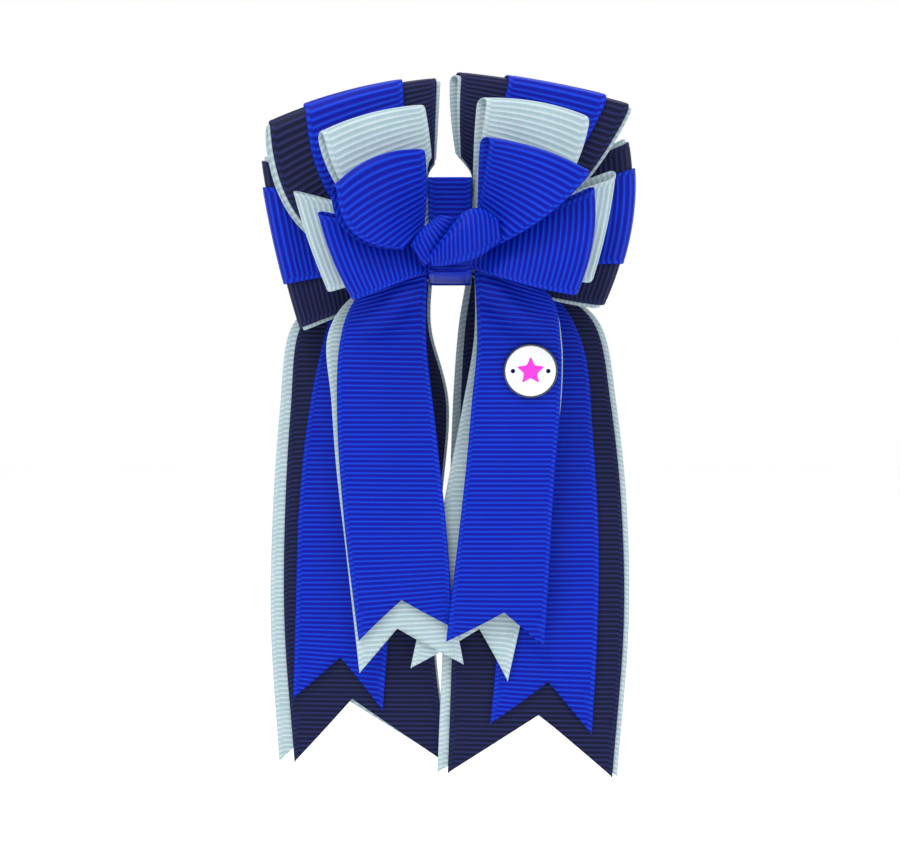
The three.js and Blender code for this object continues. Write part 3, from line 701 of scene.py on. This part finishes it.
def make_wrap():
    """The band around the roots of the rear bows: a closed ring, ribbed across its width."""
    low, high = WRAP["z"]
    z = np.linspace(low + 1, high - 1, 11)
    front = [[wall_y(WRAP["front"], np.hypot(WRAP_HALF, v)), v] for v in z]
    back = WRAP["back"]
    first, last = front[0][0], front[-1][0]
    turn, reach, sag = WRAP_CORNER["back"], WRAP_CORNER["front"], WRAP_CORNER["sag"]
    top = [[last + reach, high - sag], [mix(last, back, 0.5), high], [back - turn, high]]
    bottom = [[back - turn, low], [mix(first, back, 0.5), low], [first + reach, low + sag]]
    outline = np.array(front + top + [[back, high - turn], [back, low + turn]] + bottom + [front[0]])
    fine = catmull(outline, np.linspace(0, 1, BAND_STEPS))
    arc = arc_lengths(fine)
    ribs = round(arc[-1] / PITCH)
    along = np.linspace(0, arc[-1], ribs * ROWS_PER_RIB + 1)[:-1]
    y, z = np.interp(along, arc, fine[:, 0])[:, None], np.interp(along, arc, fine[:, 1])[:, None]
    width = 2 * WRAP_HALF
    places = columns(width)
    x = (places - WRAP_HALF)[None, :] + 0 * y
    grid = np.stack([x, y + 0 * x, z + 0 * x], -1)
    normals = grid_normals(grid, closed=True)
    middle = np.array(WRAP_MIDDLE)
    normals = normals * -np.sign(np.sum(normals * (middle - grid), -1, keepdims=True))
    grid = grid - WRAP_INSET * normals
    piece = ribbon_from_grid("ribbon_centre_wrap", grid, normals, places, width, along, closed=True)
    piece.data.materials.append(grosgrain("royal"))
    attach(piece, "bow")
    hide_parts("centre_wrap")


# ------------------------------------------------------------------ clip

CLIP = {"left": -23, "right": 23, "pin_x": 9, "pin_y": 3.2}
# The ribbon between the plate and the bows: its y, how far it passes the plate's ends, and how they turn back
CLIP_LINING = {"y": 1, "end": 0.6, "turn": 1.5, "rise": 0.5}
SPRING = {"radius": 1.7, "wire": 0.35, "turns": 4, "half": 2.4}
# x and y of the leg's points from the coil's first end, down to the plate and along it
SPRING_LEG = [(-0.05, -1.3), (0.35, -2.3), (1.5, -2.75), (4.5, -2.8)]
SPRING_STEPS = {"turn": 28, "leg": 24, "around": 12}


def make_clip_lining():
    """A strip of narrow ribbon glued along the front of the clip's plate."""
    left, right = CLIP["left"] - CLIP_LINING["end"], CLIP["right"] + CLIP_LINING["end"]
    width = 2 * WRAP_HALF
    along = rib_rows(right - left)
    places = columns(width)
    x = left + along[:, None] + 0 * places[None, :]
    z = 0 * along[:, None] + places[None, :] - width / 2
    # the ribbon's ends turn back a little towards the plate
    turn = smooth(1 - np.minimum(x - left, right - x) / CLIP_LINING["turn"])
    grid = np.stack([x, CLIP_LINING["y"] + CLIP_LINING["rise"] * turn, z], -1)
    normals = grid_normals(grid)
    normals = normals * -np.sign(normals[..., 1:2])
    piece = ribbon_from_grid("ribbon_clip_lining", grid, normals, places, width, along)
    piece.data.materials.append(grosgrain("royal"))
    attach(piece, "bow")
    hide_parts("clip_lining")


def make_spring():
    """The torsion spring round the pin, with one leg along the clip's plate."""
    turns, radius, half = SPRING["turns"], SPRING["radius"], SPRING["half"]
    t = np.linspace(0, 1, turns * SPRING_STEPS["turn"] + 1)
    a = 2 * np.pi * turns * t
    coil = np.stack([radius * np.cos(a), radius * np.sin(a), mix(-half, half, t)], -1)
    leg = np.array([(radius + x, y, -half) for x, y in reversed(SPRING_LEG)] + [tuple(coil[0])])
    line = np.concatenate([catmull(leg, np.linspace(0, 1, SPRING_STEPS["leg"]))[:-1], coil])
    line += [CLIP["pin_x"], CLIP["pin_y"], 0]
    way = np.gradient(line, axis=0)
    way /= np.linalg.norm(way, axis=1, keepdims=True)
    side = np.cross(way, [0, 0, 1])
    side /= np.linalg.norm(side, axis=1, keepdims=True)
    up = np.cross(side, way)
    around = np.linspace(0, 2 * np.pi, SPRING_STEPS["around"], endpoint=False)
    rings = [
        p + SPRING["wire"] * (np.cos(around)[:, None] * s + np.sin(around)[:, None] * u)
        for p, s, u in zip(line, side, up)
    ]
    piece = stack("spring_wire", rings, Matrix.Identity(4))
    piece.data.materials.append(metal("spring_steel", (0.62, 0.63, 0.65), (1, 1, 1)))
    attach(piece, "bow")
    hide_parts("clip_spring")


def finish_clip():
    """Nickel-plated steel on the clip's own solids, brushed along its length."""
    plated = metal("nickel_plate", (0.6, 0.6, 0.61), (0.15, 1, 1))
    for node in ("clip_base", "clip_jaw", "clip_pin"):
        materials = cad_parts[node].data.materials
        materials.clear()
        materials.append(plated)


# ------------------------------------------------------------------ charm

CHARM = {"place": (17.8, -13.5 - CLIP_STACK, -31.5), "lean": 8.5}  # its back's middle, and degrees of tilt
CHARM_HOLES = {"radius": 0.5, "at": 3.9}
# radius and height of each turned outline, from its back round to its front
CUP_OUTSIDE = [(5.7, 0), (5.93, 0.08), (6, 0.25), (6, 0.78), (5.95, 0.9), (5.84, 0.96)]
CUP_INSIDE = [(5.72, 0.93), (5.66, 0.8), (5.66, 0.45), (3, 0.45)]
FACE_PROFILE = [(3, 0.5), (5.6, 0.5), (5.62, 0.78), (5.57, 0.88), (5.4, 0.93), (5, 0.95), (2.5, 0.98)]
STAR = {"outer": 3.3, "inner": 1.5, "low": 0.9}
STAR_BEVEL = [(1, 0), (1, 0.12), (0.97, 0.18), (0.9, 0.2)]  # share of the outline, and height over its foot
STAR_ROUNDING = (0.12, 0.25)  # share of each side cut off at its ends, one pass after the other
SHARP = 50  # degrees between two faces of the charm from which their edge is sharp


def ring(radius, height, sides=96):
    a = np.linspace(0, 2 * np.pi, sides, endpoint=False)
    return np.stack([radius * np.cos(a), radius * np.sin(a), 0 * a + height], -1)


def stack(name, rings, matrix):
    """A closed solid through rings of points in millimetres, with a fan over its first and last ring."""
    count = len(rings[0])
    vertices = np.concatenate([*rings, [np.mean(rings[0], 0), np.mean(rings[-1], 0)]]) * MM
    first, last = len(vertices) - 2, len(vertices) - 1
    top = (len(rings) - 1) * count
    faces = []
    for i in range(count):
        j = (i + 1) % count
        for k in range(0, top, count):
            faces.append((k + i, k + j, k + count + j, k + count + i))
        faces.append((first, j, i))
        faces.append((last, top + i, top + j))
    mesh = bpy.data.meshes.new(name)
    mesh.from_pydata([matrix @ Vector(v) for v in vertices], [], faces)
    mesh.polygons.foreach_set("use_smooth", [True] * len(faces))
    mesh.validate()
    mesh.update()
    thing = bpy.data.objects.new(name, mesh)
    bpy.context.scene.collection.objects.link(thing)
    return thing


def pierce(piece, matrix):
    """Cuts the two sewing holes through a piece of the charm."""
    for side in (-1, 1):
        shift = np.array([side * CHARM_HOLES["at"], 0, 0])
        holes = [ring(CHARM_HOLES["radius"], z, 24) + shift for z in (-1, 2)]
        cutter = stack("hole", holes, matrix)
        cut = piece.modifiers.new("hole", "BOOLEAN")
        cut.operation = "DIFFERENCE"
        cut.solver = "EXACT"
        cut.object = cutter
        graph = bpy.context.evaluated_depsgraph_get()
        mesh = bpy.data.meshes.new_from_object(piece.evaluated_get(graph))
        piece.modifiers.clear()
        piece.data = mesh
        bpy.data.objects.remove(cutter)


def star_outline():
    """A five-pointed star with softened corners."""
    points = []
    for i in range(10):
        radius = STAR["inner"] if i % 2 else STAR["outer"]
        a = math.pi / 2 + i * math.pi / 5
        points.append((radius * math.cos(a), radius * math.sin(a)))
    points = np.array(points)
    for share in STAR_ROUNDING:
        after = np.roll(points, -1, 0)
        points = np.stack([mix(points, after, share), mix(after, points, share)], 1).reshape(-1, 2)
    return points


def make_charm():
    x, y, z = (v * MM for v in CHARM["place"])
    matrix = Matrix.Translation((x, y, z)) @ Matrix.Rotation(math.radians(90 + CHARM["lean"]), 4, "X")
    outline = star_outline()
    flat = 0 * outline[:, 0]
    star = [np.column_stack([share * outline, flat + STAR["low"] + up]) for share, up in STAR_BEVEL]
    parts = [
        ("charm_rim", "charm_cup", "charm_metal", [ring(r, h) for r, h in CUP_OUTSIDE + CUP_INSIDE]),
        ("charm_enamel_face", "charm_face", "charm_enamel", [ring(r, h) for r, h in FACE_PROFILE]),
        ("charm_star_inlay", "charm_star", "charm_inlay", star),
    ]
    materials = {
        "charm_metal": metal("charm_metal", (0.33, 0.34, 0.38), (1, 1, 1)),
        "charm_enamel": enamel("white_enamel", (0.93, 0.94, 0.96)),
        "charm_inlay": enamel("pink_enamel", (0.93, 0.06, 0.84)),
    }
    for name, node, slot, rings in parts:
        piece = stack(name, rings, matrix)
        if node != "charm_star":
            pierce(piece, matrix)
        piece.data.set_sharp_from_angle(angle=math.radians(SHARP))
        piece.data.materials.clear()
        piece.data.materials.append(materials[slot])
        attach(piece, "front_tails")
        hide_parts(node)


# ------------------------------------------------------------------ materials


def linear(colour):
    return [c / 12.92 if c <= 0.04045 else ((c + 0.055) / 1.055) ** 2.4 for c in colour]


def new_material(name):
    material = bpy.data.materials.new(name)
    material.use_nodes = True
    nodes = material.node_tree.nodes
    return material, nodes, material.node_tree.links, nodes["Principled BSDF"]


@cache
def grosgrain(colour):
    """Ribbed ribbon: painted shade between the ribs and a painted highlight on them, fine threads over them,
    and a soft sheen.
    """
    material, nodes, links, shader = new_material("grosgrain_" + colour)
    low, high = (linear(c) + [1] for c in COLOURS[colour])
    # the rib attribute mixes the painted shade between the ribs into a painted highlight on their crests
    rib = nodes.new("ShaderNodeAttribute")
    rib.attribute_name = "rib"
    ramp = nodes.new("ShaderNodeValToRGB")
    ramp.color_ramp.elements[0].color = low
    ramp.color_ramp.elements[1].color = high
    links.new(rib.outputs["Fac"], ramp.inputs["Fac"])
    weave = nodes.new("ShaderNodeUVMap")
    weave.uv_map = "weave"
    threads = mapped_noise(nodes, links, weave.outputs["UV"], (60, 6, 1), 1, 3)
    patches = mapped_noise(nodes, links, weave.outputs["UV"], (1, 1, 1), 1.2, 2)
    shade = nodes.new("ShaderNodeMix")
    shade.data_type = "RGBA"
    shade.blend_type = "MULTIPLY"
    shade.inputs["Factor"].default_value = 0.35
    links.new(ramp.outputs["Color"], shade.inputs["A"])
    links.new(threads.outputs["Color"], shade.inputs["B"])
    lift = nodes.new("ShaderNodeMapRange")
    lift.inputs["To Min"].default_value = 0.94
    lift.inputs["To Max"].default_value = 1.12
    links.new(patches.outputs["Fac"], lift.inputs["Value"])
    tone = nodes.new("ShaderNodeVectorMath")
    tone.operation = "SCALE"
    links.new(shade.outputs["Result"], tone.inputs[0])
    links.new(lift.outputs["Result"], tone.inputs["Scale"])
    links.new(tone.outputs["Vector"], shader.inputs["Base Color"])
    bump = nodes.new("ShaderNodeBump")
    bump.inputs["Strength"].default_value = 0.35
    bump.inputs["Distance"].default_value = 0.00006
    links.new(threads.outputs["Fac"], bump.inputs["Height"])
    links.new(bump.outputs["Normal"], shader.inputs["Normal"])
    shader.inputs["Roughness"].default_value = 0.5
    shader.inputs["Specular IOR Level"].default_value = 0.12
    shader.inputs["Sheen Weight"].default_value = 0.02
    shader.inputs["Sheen Roughness"].default_value = 0.4
    return material


def mapped_noise(nodes, links, place, stretch, scale, detail):
    """Noise over the coordinates of an output socket, drawn out along the axes with small numbers."""
    mapping = nodes.new("ShaderNodeMapping")
    mapping.inputs["Scale"].default_value = stretch
    links.new(place, mapping.inputs["Vector"])
    noise = nodes.new("ShaderNodeTexNoise")
    noise.inputs["Scale"].default_value = scale
    noise.inputs["Detail"].default_value = detail
    links.new(mapping.outputs["Vector"], noise.inputs["Vector"])
    return noise


def add_variation(nodes, links, shader, noise, colour, roughness, distance):
    """Lets a noise vary a shader's colour, roughness and surface a little."""
    ramp = nodes.new("ShaderNodeValToRGB")
    for element, shade in zip(ramp.color_ramp.elements, (0.93, 1)):
        element.color = [shade * c for c in linear(colour)] + [1]
    links.new(noise.outputs["Fac"], ramp.inputs["Fac"])
    links.new(ramp.outputs["Color"], shader.inputs["Base Color"])
    gloss = nodes.new("ShaderNodeMapRange")
    gloss.inputs["To Min"].default_value, gloss.inputs["To Max"].default_value = roughness
    links.new(noise.outputs["Fac"], gloss.inputs["Value"])
    links.new(gloss.outputs["Result"], shader.inputs["Roughness"])
    bump = nodes.new("ShaderNodeBump")
    bump.inputs["Strength"].default_value = 0.3
    bump.inputs["Distance"].default_value = distance
    links.new(noise.outputs["Fac"], bump.inputs["Height"])
    links.new(bump.outputs["Normal"], shader.inputs["Normal"])


def metal(name, colour, stretch):
    """Polished plated metal with faint scratches along the axes that stretch names with small numbers."""
    material, nodes, links, shader = new_material(name)
    place = nodes.new("ShaderNodeTexCoord").outputs["Object"]
    noise = mapped_noise(nodes, links, place, stretch, 3000, 4)
    add_variation(nodes, links, shader, noise, colour, (0.24, 0.42), 0.00002)
    shader.inputs["Metallic"].default_value = 1
    return material


def enamel(name, colour):
    """Hard glossy enamel with a faint unevenness."""
    material, nodes, links, shader = new_material(name)
    place = nodes.new("ShaderNodeTexCoord").outputs["Object"]
    noise = mapped_noise(nodes, links, place, (1, 1, 1), 400, 2)
    add_variation(nodes, links, shader, noise, colour, (0.18, 0.28), 0.00003)
    shader.inputs["Coat Weight"].default_value = 0.4
    shader.inputs["Coat Roughness"].default_value = 0.08
    return material


# ------------------------------------------------------------------ stage

# Places and sizes in metres, the camera's lens and sensor in millimetres
CAMERA = {"place": (0, -0.3323, -0.0432), "lens": 57.2, "sensor": 36}
FLOOR = {"radius": 4, "z": -0.165}
LIGHT_TARGET = (0, 0, -0.04)
# name, place, size and power in watts; all point at the middle of the bow
LIGHTS = [
    ("key", (-0.2, -0.45, 0.6), 0.25, 2.2),
    ("fill", (0.5, -0.5, 0.1), 0.5, 0.4),
    ("rim", (0.1, 0.4, 0.45), 0.4, 0.5),
]


def make_camera():
    """Level view from the front, a third of a metre away."""
    camera = bpy.data.cameras.new("camera")
    camera.sensor_width = CAMERA["sensor"]
    camera.lens = CAMERA["lens"]
    thing = bpy.data.objects.new("camera", camera)
    thing.location = CAMERA["place"]
    thing.rotation_euler = (math.pi / 2, 0, 0)
    bpy.context.scene.collection.objects.link(thing)
    bpy.context.scene.camera = thing


def area_light(name, place, target, size, power):
    light = bpy.data.lights.new(name, "AREA")
    light.shape = "RECTANGLE"
    light.size, light.size_y = size
    light.energy = power
    thing = bpy.data.objects.new(name, light)
    thing.location = place
    thing.rotation_euler = (Vector(target) - Vector(place)).to_track_quat("-Z", "Y").to_euler()
    bpy.context.scene.collection.objects.link(thing)


def make_stage():
    """A round white floor under a white sky, and soft light from above, the right and behind."""
    rim = ring(FLOOR["radius"], FLOOR["z"])
    mesh = bpy.data.meshes.new("floor")
    mesh.from_pydata(rim.tolist(), [], [list(range(len(rim)))])
    floor = bpy.data.objects.new("floor", mesh)
    bpy.context.scene.collection.objects.link(floor)
    material, _, _, shader = new_material("floor_paint")
    shader.inputs["Base Color"].default_value = (1, 1, 1, 1)
    shader.inputs["Roughness"].default_value = 0.8
    shader.inputs["Specular IOR Level"].default_value = 0.1
    floor.data.materials.append(material)
    world = bpy.data.worlds.new("world")
    world.use_nodes = True
    sky = world.node_tree.nodes["Background"]
    sky.inputs["Color"].default_value = (1, 1, 1, 1)
    sky.inputs["Strength"].default_value = 1
    bpy.context.scene.world = world
    for name, place, size, power in LIGHTS:
        area_light(name, place, LIGHT_TARGET, (size, size), power)


# ------------------------------------------------------------------ build

bpy.context.scene.view_settings.view_transform = "Standard"
make_camera()
make_loops()
make_tails()
make_wrap()
make_knot()
make_clip_lining()
make_spring()
finish_clip()
make_charm()
make_stage()
